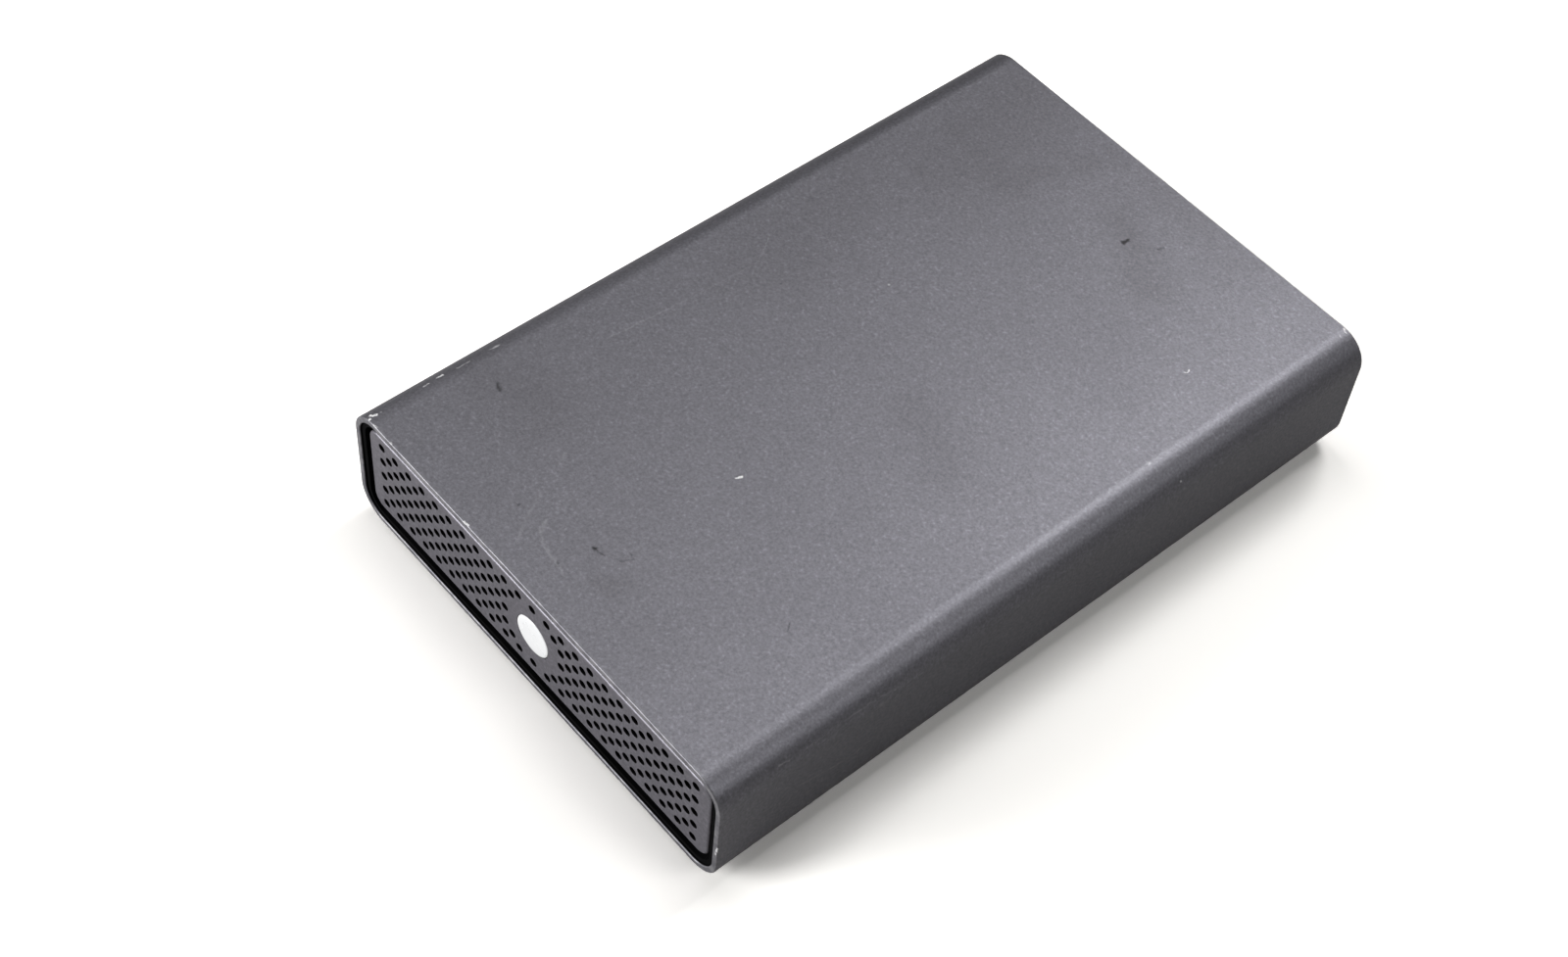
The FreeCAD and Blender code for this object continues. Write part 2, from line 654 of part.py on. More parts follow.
def sata_plug():
    """Drive's own connector in the notch, with its contact blade."""
    root = NOTCH_Y + PLUG_T
    base_z = (DRIVE_Z + DRIVE_BOARD_T, SATA_Z + SATA_H / 2)
    base = block(SATA_X - SATA_W / 2, SATA_X + SATA_W / 2, NOTCH_Y, root, *base_z)
    blade_z = (SATA_Z - BLADE_T / 2, SATA_Z + BLADE_T / 2)
    blade = block(SATA_X - BLADE_W / 2, SATA_X + BLADE_W / 2, root, root + BLADE_L, *blade_z)
    return base.fuse(blade).removeSplitter()


def sata_socket():
    """Connector on the bridge board that takes the blade of the drive."""
    face = NOTCH_Y + PLUG_T + SATA_GAP
    half = SATA_W / 2
    body = block(SATA_X - half, SATA_X + half, face, SOCKET_REAR_Y, BOARD_TOP_Z, BOARD_TOP_Z + SATA_H)
    slot_x = BLADE_W / 2 + SATA_FIT
    slot_z = BLADE_T / 2 + SATA_FIT
    slot_end = face + BLADE_L
    return body.cut(block(SATA_X - slot_x, SATA_X + slot_x, face, slot_end, SATA_Z - slot_z, SATA_Z + slot_z))


def bridge_board():
    """Board between the drive and the ports, with its chip, its coil and the ribbon socket."""
    board = block(-BOARD_W / 2, BOARD_W / 2, BOARD_FRONT_Y, BOARD_REAR_Y, BOARD_Z, BOARD_TOP_Z)
    socket_x = (RIBBON_X - SOCKET_W / 2, RIBBON_X + SOCKET_W / 2)
    socket_y = (BOARD_FRONT_Y, BOARD_FRONT_Y + SOCKET_D)
    solids = [block(*socket_x, *socket_y, BOARD_TOP_Z, BOARD_TOP_Z + SOCKET_H)]
    for x, y, width, height in (
        (JACK_X, BOARD_FRONT_Y + CHIP_GAP + CHIP_W / 2, CHIP_W, CHIP_T),
        (LOCK_X, BOARD_REAR_Y - COIL_W, COIL_W, COIL_T),
    ):
        half = width / 2
        solids.append(block(x - half, x + half, y - half, y + half, BOARD_TOP_Z, BOARD_TOP_Z + height))
    return board.fuse(solids).removeSplitter()


def usb_shell():
    """Pressed steel shell of the data port, open towards the rear."""
    mouth = y_at(REAR, PANEL_RECESS)
    back = mouth - USB_L
    outer = rounded_slab(USB_W, USB_H, USB_R, back, mouth, USB_X, USB_Z)
    inner_w = USB_W - 2 * USB_SHELL_T
    inner_h = USB_H - 2 * USB_SHELL_T
    inner_r = USB_R - USB_SHELL_T
    return outer.cut(rounded_slab(inner_w, inner_h, inner_r, back + USB_SHELL_T, mouth, USB_X, USB_Z))


def usb_tongue():
    """Contact tongue inside the data port."""
    root = y_at(REAR, PANEL_RECESS) - USB_L + USB_SHELL_T
    tip = y_at(REAR, PANEL_RECESS) - USB_TONGUE_BACK
    half_w = USB_TONGUE_W / 2
    half_t = USB_TONGUE_T / 2
    return block(USB_X - half_w, USB_X + half_w, root, tip, USB_Z - half_t, USB_Z + half_t)


def dc_jack():
    """Power inlet on the bridge board, whose mouth lies just behind the rear plate."""
    half = JACK_W / 2
    back = JACK_MOUTH_Y - JACK_L
    body = block(JACK_X - half, JACK_X + half, back, JACK_MOUTH_Y, BOARD_TOP_Z, AXIS_Z + half)
    return body.cut(rod_y(JACK_BORE_D, JACK_MOUTH_Y - JACK_BORE_L, JACK_MOUTH_Y, JACK_X, AXIS_Z))


def dc_jack_pin():
    """Centre pin of the power inlet."""
    root = V(JACK_X, JACK_MOUTH_Y - JACK_BORE_L, AXIS_Z)
    return small_rod(JACK_PIN_D, JACK_BORE_L - JACK_PIN_BACK, root, BACKWARD)


def lock_bracket():
    """Steel plate behind the lock slot."""
    faces = (y_at(REAR, PANEL_BACK), y_at(REAR, PANEL_BACK + LOCK_PLATE_T))
    half_w = LOCK_PLATE_W / 2
    half_h = LOCK_PLATE_H / 2
    plate = block(LOCK_X - half_w, LOCK_X + half_w, *faces, MID_Z - half_h, MID_Z + half_h)
    return plate.cut(lock_slot(*faces))


def power_button():
    """Round push button, kept in by a flange behind the rear plate."""
    top = y_at(REAR, PANEL_RECESS - BUTTON_PROUD)
    shoulder = y_at(REAR, PANEL_BACK + BUTTON_SEAT_GAP)
    back = y_at(REAR, FLANGE_BACK)
    cap = rod_y(BUTTON_D, back, top, BUTTON_X, AXIS_Z)
    cap = cap.makeChamfer(BUTTON_CHAMFER, edges_at_y(cap, top))
    root = V(BUTTON_X, back, AXIS_Z)
    flange = small_rod(BUTTON_D + 2 * BUTTON_FLANGE, shoulder - back, root, BACKWARD)
    return cap.fuse(flange).removeSplitter()


def switch_plunger():
    """Plunger of the power switch, which the button pushes."""
    faces = (y_at(REAR, FLANGE_BACK), y_at(REAR, SWITCH_FACE + PLUNGER_IN))
    half = PLUNGER_W / 2
    return block(BUTTON_X - half, BUTTON_X + half, *faces, AXIS_Z - half, AXIS_Z + half)


def power_switch():
    """Switch body on the bridge board, with the well that its plunger runs in."""
    face = y_at(REAR, SWITCH_FACE)
    back = face - SWITCH_L
    half = SWITCH_W / 2
    body = block(BUTTON_X - half, BUTTON_X + half, back, face, BOARD_TOP_Z, AXIS_Z + half)
    room = PLUNGER_W / 2 + BUTTON_FIT
    well = face - PLUNGER_IN - BUTTON_TRAVEL - BUTTON_STOP_GAP
    return body.cut(block(BUTTON_X - room, BUTTON_X + room, well, face, AXIS_Z - room, AXIS_Z + room))


PIECES = (
    sleeve, feet, front_panel, front_bezel, status_lens, status_lamp, status_board, status_ribbon,
    rear_panel, rear_bezel, power_button, switch_plunger, power_switch, usb_shell, usb_tongue,
    dc_jack, dc_jack_pin, lock_bracket, bridge_board, sata_socket, sata_plug, drive_base, drive_cover,
    drive_board, drive_tray, tray_standoffs, tray_screws, grommets, drive_screws,
)

os.makedirs("parts", exist_ok=True)
for piece in PIECES:
    piece().exportStep("parts/" + piece.__name__ + ".step")
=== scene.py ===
"""Looks of the desktop external hard drive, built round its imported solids."""

import json
import math

import bmesh
import bpy
from mathutils import Matrix, Vector
from mathutils.geometry import delaunay_2d_cdt, intersect_point_tri_2d


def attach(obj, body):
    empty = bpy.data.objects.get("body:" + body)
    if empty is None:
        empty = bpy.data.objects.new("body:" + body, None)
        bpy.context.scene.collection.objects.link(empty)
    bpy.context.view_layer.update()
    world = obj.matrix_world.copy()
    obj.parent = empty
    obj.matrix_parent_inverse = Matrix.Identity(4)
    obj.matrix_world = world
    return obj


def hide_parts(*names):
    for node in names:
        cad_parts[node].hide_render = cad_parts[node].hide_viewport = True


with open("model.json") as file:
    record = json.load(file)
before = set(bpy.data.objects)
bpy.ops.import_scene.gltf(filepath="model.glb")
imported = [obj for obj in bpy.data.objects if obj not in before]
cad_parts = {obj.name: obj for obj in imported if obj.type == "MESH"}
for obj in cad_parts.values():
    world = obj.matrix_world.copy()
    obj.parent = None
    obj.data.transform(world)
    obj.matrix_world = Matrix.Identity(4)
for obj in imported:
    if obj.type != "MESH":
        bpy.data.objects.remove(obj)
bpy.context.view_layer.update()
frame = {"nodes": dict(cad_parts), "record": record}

MM = 0.001

# Sizes repeated from the solids, in millimetres
WIDTH = 129.0
HEIGHT = 36.0
LENGTH = 197.0
WALL = 1.6
CORNER_R = 8.0
RIM = 0.2
MID_Z = 19.6
TOP_Z = MID_Z + HEIGHT / 2
PANEL_W = 121.0
PANEL_H = 27.2
PANEL_R = 3.6
PANEL_T = 1.5
PANEL_RECESS = 0.9
HOLE_PITCH = 5.05
ROW_PITCH = 2.55
ROWS = 9
FULL_ROW = 23
LIGHT_R = 5.5
LIGHT_FIT = 0.1
LIGHT_PROUD = 0.2
BUTTON_R = 3.2
BUTTON_PROUD = 0.6
PIN_R = 1.05
PIN_TIP = 94.9
FOOT_R = 6.0
FOOT_H = 1.6
FOOT_X = 46.5
FOOT_Y = 80.5
BARE_R = 9.0
PORT_SIDE = 48.5
PORT_Z = 16.6
USB_Z = 11.73

# Plate edges and vents of the looks, slightly larger than the solids'
PANEL_EDGE = 0.55
HOLE_R = 1.15
HOLE_LIP = 0.06
HOLE_SIDES = 24

# Flat strip beside an edge, which keeps the shading of the flat face
REST = 0.06

# Camera that matches the photograph's 1600 by 977 frame
PHOTO_W = 1600
SENSOR_W = 36.0
FOCAL_PX = 2567.66
AZIMUTH = math.radians(44.7619)
ELEVATION = math.radians(52.2050)
ROLL = math.radians(6.0535)
DISTANCE = 575.060
TARGET = Vector((1.4927, -27.1097, 21.6))


# Shader helpers

def new_material(name):
    """Empty node material with a Principled shader joined to its output."""
    mat = bpy.data.materials.new(name)
    mat.use_nodes = True
    tree = mat.node_tree
    tree.nodes.clear()
    out = tree.nodes.new("ShaderNodeOutputMaterial")
    shader = tree.nodes.new("ShaderNodeBsdfPrincipled")
    tree.links.new(shader.outputs["BSDF"], out.inputs["Surface"])
    return mat, tree, shader


def place(tree):
    """Position on the part, in metres."""
    return tree.nodes.new("ShaderNodeTexCoord").outputs["Object"]


def noise(tree, coords, scale, detail=2.0, rough=0.5):
    node = tree.nodes.new("ShaderNodeTexNoise")
    node.inputs["Scale"].default_value = scale
    node.inputs["Detail"].default_value = detail
    node.inputs["Roughness"].default_value = rough
    tree.links.new(coords, node.inputs["Vector"])
    return node.outputs["Fac"]


def remap(tree, value, low, high, to_low=0.0, to_high=1.0, smooth=False):
    node = tree.nodes.new("ShaderNodeMapRange")
    node.interpolation_type = "SMOOTHSTEP" if smooth else "LINEAR"
    node.inputs["From Min"].default_value = low
    node.inputs["From Max"].default_value = high
    node.inputs["To Min"].default_value = to_low
    node.inputs["To Max"].default_value = to_high
    tree.links.new(value, node.inputs["Value"])
    return node.outputs["Result"]


def maths(tree, operation, a, b):
    node = tree.nodes.new("ShaderNodeMath")
    node.operation = operation
    for socket, value in zip(node.inputs, (a, b)):
        if isinstance(value, (int, float)):
            socket.default_value = value
        else:
            tree.links.new(value, socket)
    return node.outputs["Value"]


def blend_colour(tree, factor, a, b):
    node = tree.nodes.new("ShaderNodeMix")
    node.data_type = "RGBA"
    tree.links.new(factor, node.inputs["Factor"])
    for name, value in (("A", a), ("B", b)):
        socket = [s for s in node.inputs if s.name == name and s.type == "RGBA"][0]
        if isinstance(value, tuple):
            socket.default_value = (*value, 1.0)
        else:
            tree.links.new(value, socket)
    return [s for s in node.outputs if s.type == "RGBA"][0]


def bump(tree, height, distance, strength):
    node = tree.nodes.new("ShaderNodeBump")
    node.inputs["Distance"].default_value = distance
    node.inputs["Strength"].default_value = strength
    tree.links.new(height, node.inputs["Height"])
    return node.outputs["Normal"]


def attribute(tree, name):
    """Vertex value of a piece: rim wear with painted glints, and painted shade in recesses and on eased
    edges.
    """
    node = tree.nodes.new("ShaderNodeAttribute")
    node.attribute_name = name
    return node.outputs["Fac"]


def vectors(tree, operation, *values):
    node = tree.nodes.new("ShaderNodeVectorMath")
    node.operation = operation
    for socket, value in zip(node.inputs, values):
        if isinstance(value, Vector):
            socket.default_value = value
        else:
            tree.links.new(value, socket)
    return node


def ragged(tree, coords, scale, reach):
    """Position shaken by up to half the reach, so that the edges of marks are uneven."""
    shake = tree.nodes.new("ShaderNodeTexNoise")
    shake.inputs["Scale"].default_value = scale
    tree.links.new(coords, shake.inputs["Vector"])
    middle = Vector((0.5, 0.5, 0.5))
    centred = vectors(tree, "SUBTRACT", shake.outputs["Color"], middle).outputs["Vector"]
    spread = vectors(tree, "MULTIPLY", centred, Vector((reach, reach, reach)) * MM).outputs["Vector"]
    return vectors(tree, "ADD", spread, coords).outputs["Vector"]


def stroke(tree, coords, start, end, width, soft):
    """Mask of one mark from start to end: 1 along its middle, falling to 0 at its edge."""
    along = end - start
    node = tree.nodes.new("ShaderNodeMapping")
    node.vector_type = "TEXTURE"
    node.inputs["Location"].default_value = (start + end) / 2 * MM
    node.inputs["Rotation"].default_value = along.to_track_quat("X", "Z").to_euler()
    node.inputs["Scale"].default_value = Vector((width, width, width)) * MM
    tree.links.new(coords, node.inputs["Vector"])
    aside = vectors(tree, "ABSOLUTE", node.outputs["Vector"]).outputs["Vector"]
    past = vectors(tree, "SUBTRACT", aside, Vector((along.length / 2 / width, 0, 0))).outputs["Vector"]
    near = vectors(tree, "MAXIMUM", past, Vector((0, 0, 0))).outputs["Vector"]
    far = vectors(tree, "LENGTH", near).outputs["Value"]
    return remap(tree, far, 1.0, 1.0 - soft, smooth=True)


def strokes(tree, coords, marks):
    """Strongest of several marks, each with its own weight."""
    total = None
    for points, width, soft, weight in marks:
        for start, end in zip(points, points[1:] or points):
            mask = maths(tree, "MULTIPLY", stroke(tree, coords, start, end, width, soft), weight)
            total = mask if total is None else maths(tree, "MAXIMUM", total, mask)
    return total


# Materials

def on_top(*places):
    """Places on the flat top, from their X and Y."""
    return [Vector((x, y, TOP_Z)) for x, y in places]


def on_side(*places):
    """Places on the roundings, the side or a rim."""
    return [Vector(spot) for spot in places]


# Marks: points along the mark, half width, softness, weight
BARE_MARKS = (
    (on_top((3.7, -44.3), (4.4, -42.9)), 0.42, 0.7, 0.9),
    (on_top((43.4, 57.8), (43.5, 59.2)), 0.26, 0.8, 0.75),
    (on_top((-23.2, -98.3), (-21.8, -98.2)), 0.42, 0.7, 0.9),
    (on_side((-59.9, -97.1, 36.9)), 0.62, 0.5, 1.0),
    (on_side((-59.2, -96.7, 37.1), (-59.0, -96.1, 37.2)), 0.55, 0.5, 1.0),
    (on_side((-58.8, -98.0, 37.3)), 0.55, 0.5, 1.0),
    (on_side((-57.0, -98.2, 37.6), (-55.8, -98.3, 37.6)), 0.3, 0.7, 0.6),
    (on_side((-50.4, -98.4, 37.6), (-49.8, -98.4, 37.6)), 0.28, 0.7, 0.6),
    (on_side((-59.0, -94.8, 37.2)), 0.4, 0.7, 0.5),
    (on_side((-59.4, -83.0, 37.1), (-59.4, -81.6, 37.1)), 0.35, 0.7, 0.6),
    (on_side((-59.8, -79.0, 36.9), (-59.8, -77.4, 36.9)), 0.4, 0.7, 0.75),
    (on_side((-59.2, -73.8, 37.1), (-59.3, -70.6, 37.1)), 0.3, 0.8, 0.45),
    (on_side((-59.0, -64.8, 37.2), (-59.0, -62.0, 37.2)), 0.35, 0.8, 0.4),
    (on_top((57.0, 97.8), (58.3, 97.4)), 0.42, 0.7, 0.6),
    (on_top((58.0, 95.4)), 0.42, 0.7, 0.5),
    (on_top((57.1, 31.9)), 0.7, 0.9, 0.25),
    (on_side((63.4, 36.8, 33.7)), 0.4, 0.7, 0.6),
    (on_top((-18.6, 21.1)), 0.4, 0.7, 0.35),
    (on_side((64.2, -98.5, 15.9), (64.3, -98.5, 17.4)), 0.4, 0.7, 0.8),
    (on_side((63.8, -98.5, 14.4), (63.8, -98.5, 15.0)), 0.35, 0.7, 0.6),
)
FAINT_MARKS = (
    (on_top((-12.6, -83.9), (-11.7, -86.0), (-10.4, -87.4), (-7.6, -88.6), (1.7, -90.0)), 0.6, 1.0, 0.22),
    (on_top((-12.2, -84.8), (-10.8, -87.0)), 0.9, 1.0, 0.3),
    (on_top((-24.7, -69.6), (-22.9, -73.0)), 0.45, 1.0, 0.14),
    (on_top((-19.0, -81.0), (-16.1, -86.7), (-11.9, -92.4)), 0.65, 1.0, 0.15),
    (on_top((-47.6, 9.0), (-42.6, 1.1)), 0.4, 1.0, 0.2),
    (on_top((-42.6, 1.1), (-43.6, -21.0)), 0.4, 1.0, 0.1),
    (on_top((-43.6, -21.0), (-45.4, -41.7)), 0.42, 1.0, 0.24),
    # Light rub along the top of the right rounding: wear, and painted sheen on the band that catches the
    # light
    (on_top((57.0, 43.0), (57.5, -5.0)), 1.3, 1.0, 0.08),
    (on_side((63.7, -82.6, 33.0), (63.8, -79.6, 32.8)), 0.45, 1.0, 0.5),
    (on_side((63.9, -76.0, 32.7), (63.8, -66.0, 32.9)), 0.35, 1.0, 0.2),
    (on_side((63.8, -63.2, 32.9), (63.8, -56.0, 32.7)), 0.4, 1.0, 0.45),
    (on_side((63.9, -54.5, 32.5), (64.1, -50.5, 32.0)), 0.4, 1.0, 0.35),
    (on_side((64.2, -49.0, 31.4), (64.2, -43.0, 31.2)), 0.5, 1.0, 0.15),
    (on_side((64.5, -54.8, 30.3), (64.5, -52.6, 30.1)), 1.1, 1.0, 0.25),
    (on_side((64.5, -76.3, 20.2), (64.5, -73.0, 19.2), (64.5, -66.1, 17.4)), 0.4, 1.0, 0.3),
    (on_side((64.5, -66.1, 17.4), (64.5, -61.9, 16.7)), 0.4, 1.0, 0.3),
    (on_side((64.5, -61.9, 16.7), (64.5, -56.3, 17.8)), 0.4, 1.0, 0.3),
)
DARK_MARKS = (
    (on_top((5.6, 75.4), (5.8, 77.0)), 0.85, 0.8, 0.95),
    (on_top((12.4, 80.6), (12.9, 82.0)), 0.7, 1.0, 0.5),
    (on_top((-49.5, -69.7), (-47.9, -70.4)), 0.8, 1.0, 0.7),
    (on_top((-0.1, -80.5)), 1.0, 0.8, 0.95),
    (on_top((0.5, -80.5), (2.6, -79.9)), 0.45, 1.0, 0.6),
    (on_top((5.6, -75.3), (7.2, -75.8), (6.0, -78.2)), 0.5, 1.0, 0.4),
    (on_top((-21.6, -33.6)), 0.5, 1.0, 0.55),
    (on_top((-34.0, 1.1)), 0.5, 1.0, 0.45),
    (on_top((40.2, -59.8), (41.6, -61.6)), 0.36, 1.0, 0.5),
    (on_top((-19.4, -86.4)), 0.5, 1.0, 0.6),
    (on_top((-2.3, -89.1), (-1.8, -89.0)), 0.55, 1.0, 0.6),
)
SMUDGES = (
    (on_top((-44.0, 92.0), (-38.0, 60.0)), 26.0, 1.0, 0.13),
    (on_top((-48.0, 86.0), (-38.0, 80.0), (-26.0, 84.0)), 15.0, 1.0, 0.1),
    (on_top((-46.0, 70.0), (-28.0, 65.0)), 13.0, 1.0, 0.16),
    (on_top((-24.0, 70.0), (-17.0, 92.0)), 6.5, 1.0, 0.16),
    (on_top((-42.0, 49.6), (-38.5, 50.0)), 5.0, 1.0, 0.16),
    (on_top((-1.0, 80.0), (10.0, 75.0), (21.0, 71.0)), 9.0, 1.0, 0.15),
    (on_top((-50.0, 40.0), (-40.0, 2.0)), 20.0, 1.0, 0.09),
    (on_top((9.0, -84.6), (10.5, -84.2)), 5.0, 1.0, 0.16),
    (on_top((-50.0, -70.0), (-38.0, -66.0)), 16.0, 1.0, 0.1),
    (on_top((14.0, 0.0), (30.0, -4.0)), 10.0, 1.0, 0.09),
    (on_top((0.0, 98.0), (20.0, 97.0)), 16.0, 1.0, 0.08),
)

# Scales per metre, and colours that the marks, rim wear with painted glints and painted shade blend to
GRAIN_SCALE = 1500.0
GRAIN_DEPTH = 0.0001
CLOUD_SCALE = 28.0
METALLIC = 0.8
SMUDGE_TONE = (0.05, 0.045, 0.042)
DIRT_TONE = (0.035, 0.034, 0.036)
SCRATCH_TONE = (0.5, 0.5, 0.52)
WEAR_AND_GLINT_TONE = (0.7, 0.69, 0.7)
BARE_TONE = (0.95, 0.95, 0.95)
PAINTED_SHADE_TONE = (0.004, 0.004, 0.004)


def anodised(name, tone, worn=False):
    """Bead-blasted anodised aluminium: fine grain, painted glints, cloudy dye, painted shade and, on the
    sleeve, the marks of use.
    """
    mat, tree, shader = new_material(name)
    coords = place(tree)
    grain = noise(tree, coords, GRAIN_SCALE, 3.0, 0.65)
    cloud = noise(tree, coords, CLOUD_SCALE, 3.0, 0.55)
    dark = tuple(v * 0.78 for v in tone)
    light = tuple(v * 1.22 for v in tone)
    colour = blend_colour(tree, remap(tree, grain, 0.3, 0.7), dark, light)
    # Painted glints: sparse specks far lighter than the tone, where the rough surface would sparkle
    painted_glint = remap(tree, noise(tree, coords, GRAIN_SCALE, 0.0), 0.72, 0.84, 0.0, 0.12)
    colour = blend_colour(tree, painted_glint, colour, tuple(v * 2.4 for v in tone))
    shade = remap(tree, cloud, 0.35, 0.65, 0.0, 0.06, smooth=True)
    colour = blend_colour(tree, shade, colour, tuple(v * 0.7 for v in tone))
    rough = remap(tree, cloud, 0.3, 0.7, 0.47, 0.51)
    # Painted shade: darker, less metallic and less glossy where the vertices hold it
    painted_shade = attribute(tree, "painted_shade")
    metal = remap(tree, painted_shade, 0.0, 1.0, METALLIC, 0.0)
    if worn:
        torn = ragged(tree, coords, 900.0, 1.2)
        drifting = ragged(tree, coords, 70.0, 14.0)
        colour = blend_colour(tree, strokes(tree, drifting, SMUDGES), colour, SMUDGE_TONE)
        colour = blend_colour(tree, strokes(tree, torn, DARK_MARKS), colour, DIRT_TONE)
        broken = remap(tree, noise(tree, coords, 700.0), 0.4, 0.6, 0.4, 1.0)
        scratched = maths(tree, "MULTIPLY", strokes(tree, torn, FAINT_MARKS), broken)
        colour = blend_colour(tree, scratched, colour, SCRATCH_TONE)
        # Rubbed rims: wear, and on the inner chamfer painted glints where it catches the light
        patchy = remap(tree, noise(tree, coords, 400.0), 0.4, 0.62, 0.03, 0.32)
        wear_and_glint = maths(tree, "MULTIPLY", attribute(tree, "edge"), patchy)
        colour = blend_colour(tree, wear_and_glint, colour, WEAR_AND_GLINT_TONE)
        pitted = remap(tree, grain, 0.3, 0.55, 0.35, 1.0)
        bare = maths(tree, "MULTIPLY", strokes(tree, torn, BARE_MARKS), pitted)
        colour = blend_colour(tree, bare, colour, BARE_TONE)
        metal = maths(tree, "MULTIPLY", metal, remap(tree, bare, 0.0, 0.6, 1.0, 0.1))
    # Painted shade blends the colour to near black
    colour = blend_colour(tree, painted_shade, colour, PAINTED_SHADE_TONE)
    tree.links.new(metal, shader.inputs["Metallic"])
    tree.links.new(remap(tree, painted_shade, 0.0, 1.0, 0.5, 0.05), shader.inputs["Specular IOR Level"])
    tree.links.new(colour, shader.inputs["Base Color"])
    tree.links.new(rough, shader.inputs["Roughness"])
    tree.links.new(bump(tree, grain, GRAIN_DEPTH, 0.5), shader.inputs["Normal"])
    return mat


def moulded(name, dark, light, rough, grain_scale=1800.0, depth=0.00003, metal=0.0, gloss=0.5):
    """Moulded or cast surface with a fine grain and slow colour variation."""
    mat, tree, shader = new_material(name)
    coords = place(tree)
    cloud = noise(tree, coords, 90.0, 4.0, 0.6)
    grain = noise(tree, coords, grain_scale, 3.0, 0.6)
    mixed = maths(tree, "ADD", maths(tree, "MULTIPLY", cloud, 0.6), maths(tree, "MULTIPLY", grain, 0.4))
    colour = blend_colour(tree, remap(tree, mixed, 0.35, 0.65), dark, light)
    tree.links.new(colour, shader.inputs["Base Color"])
    tree.links.new(remap(tree, cloud, 0.3, 0.7, rough - 0.06, rough + 0.06), shader.inputs["Roughness"])
    shader.inputs["Metallic"].default_value = metal
    shader.inputs["Specular IOR Level"].default_value = gloss
    tree.links.new(bump(tree, grain, depth, 0.5), shader.inputs["Normal"])
    return mat


def brushed(name, dark, light, rough, stretch):
    """Rolled sheet metal with fine lines along one direction."""
    mat, tree, shader = new_material(name)
    mapping = tree.nodes.new("ShaderNodeMapping")
    mapping.inputs["Scale"].default_value = stretch
    tree.links.new(place(tree), mapping.inputs["Vector"])
    lines = noise(tree, mapping.outputs["Vector"], 1.0, 4.0, 0.6)
    colour = blend_colour(tree, remap(tree, lines, 0.3, 0.7), dark, light)
    tree.links.new(colour, shader.inputs["Base Color"])
    tree.links.new(remap(tree, lines, 0.3, 0.7, rough - 0.08, rough + 0.08), shader.inputs["Roughness"])
    shader.inputs["Metallic"].default_value = 1.0
    tree.links.new(bump(tree, lines, 0.00002, 0.4), shader.inputs["Normal"])
    return mat


def board_mask(name):
    """Circuit board: solder mask over faint copper tracks."""
    mat, tree, shader = new_material(name)
    coords = place(tree)
    brick = tree.nodes.new("ShaderNodeTexBrick")
    brick.inputs["Scale"].default_value = 160.0
    brick.inputs["Mortar Size"].default_value = 0.03
    tree.links.new(coords, brick.inputs["Vector"])
    cloud = noise(tree, coords, 220.0, 3.0)
    base = blend_colour(tree, cloud, (0.012, 0.05, 0.025), (0.02, 0.08, 0.04))
    colour = blend_colour(tree, brick.outputs["Fac"], base, (0.06, 0.14, 0.07))
    tree.links.new(colour, shader.inputs["Base Color"])
    tree.links.new(remap(tree, cloud, 0.3, 0.7, 0.3, 0.42), shader.inputs["Roughness"])
    tree.links.new(bump(tree, brick.outputs["Fac"], 0.00003, 0.3), shader.inputs["Normal"])
    return mat


# Scales per metre of the lines in rolled metal and film
LINES_ALONG_Y = (3000.0, 60.0, 3000.0)
LINES_ALONG_X = (900.0, 3000.0, 3000.0)
LINES_OF_CABLE = (2600.0, 20.0, 20.0)

shell_metal = anodised("shell_metal", (0.198, 0.195, 0.218), worn=True)
plate_metal = anodised("plate_metal", (0.213, 0.205, 0.233))
black_plastic = moulded("black_plastic", (0.002, 0.002, 0.0022), (0.005, 0.005, 0.0054), 0.75, gloss=0.02)
button_plastic = moulded("button_plastic", (0.014, 0.014, 0.015), (0.03, 0.03, 0.032), 0.42)
lens_plastic = moulded("lens_plastic", (0.83, 0.84, 0.85), (0.87, 0.87, 0.88), 0.3, 900.0, 0.000004)
rubber = moulded("rubber", (0.02, 0.02, 0.02), (0.045, 0.045, 0.045), 0.8, 1200.0, 0.00008)
cast_metal = moulded("cast_metal", (0.3, 0.3, 0.31), (0.45, 0.45, 0.46), 0.5, 1500.0, 0.00008, 1.0)
sheet_steel = brushed("sheet_steel", (0.42, 0.42, 0.43), (0.62, 0.62, 0.62), 0.35, LINES_ALONG_Y)
contact_metal = brushed("contact_metal", (0.6, 0.56, 0.48), (0.78, 0.74, 0.66), 0.25, LINES_ALONG_X)
cable_film = brushed("cable_film", (0.55, 0.5, 0.42), (0.8, 0.78, 0.72), 0.45, LINES_OF_CABLE)
lamp_body = moulded("lamp_body", (0.75, 0.7, 0.4), (0.85, 0.8, 0.55), 0.4)
circuit = board_mask("circuit")

SLOT_MATERIALS = {
    "anodised_grey": plate_metal,
    "black_plastic": black_plastic,
    "white_lens": lens_plastic,
    "button_plastic": button_plastic,
    "circuit_board": circuit,
    "lamp": lamp_body,
    "cable_film": cable_film,
    "cast_aluminium": cast_metal,
    "plated_steel": sheet_steel,
    "rubber": rubber,
    "contact_metal": contact_metal,
}
for part in frame["record"]["subparts"]:
    slots = frame["nodes"][part["node"]].data.materials
    slots.clear()
    slots.append(SLOT_MATERIALS[part["material_slot"]])


# Mesh helpers

def finish_piece(bm, name, mat, body, slot, *nodes):
    """Turns a bmesh in millimetres into a smooth piece that stands for CAD nodes."""
    bmesh.ops.recalc_face_normals(bm, faces=bm.faces)
    for face in bm.faces:
        face.smooth = True
    bm.transform(Matrix.Scale(MM, 4))
    mesh = bpy.data.meshes.new(name)
    bm.to_mesh(mesh)
    bm.free()
    mesh.materials.append(mat)
    piece = bpy.data.objects.new(name, mesh)
    bpy.context.scene.collection.objects.link(piece)
    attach(piece, body)
    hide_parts(*nodes)
    return piece


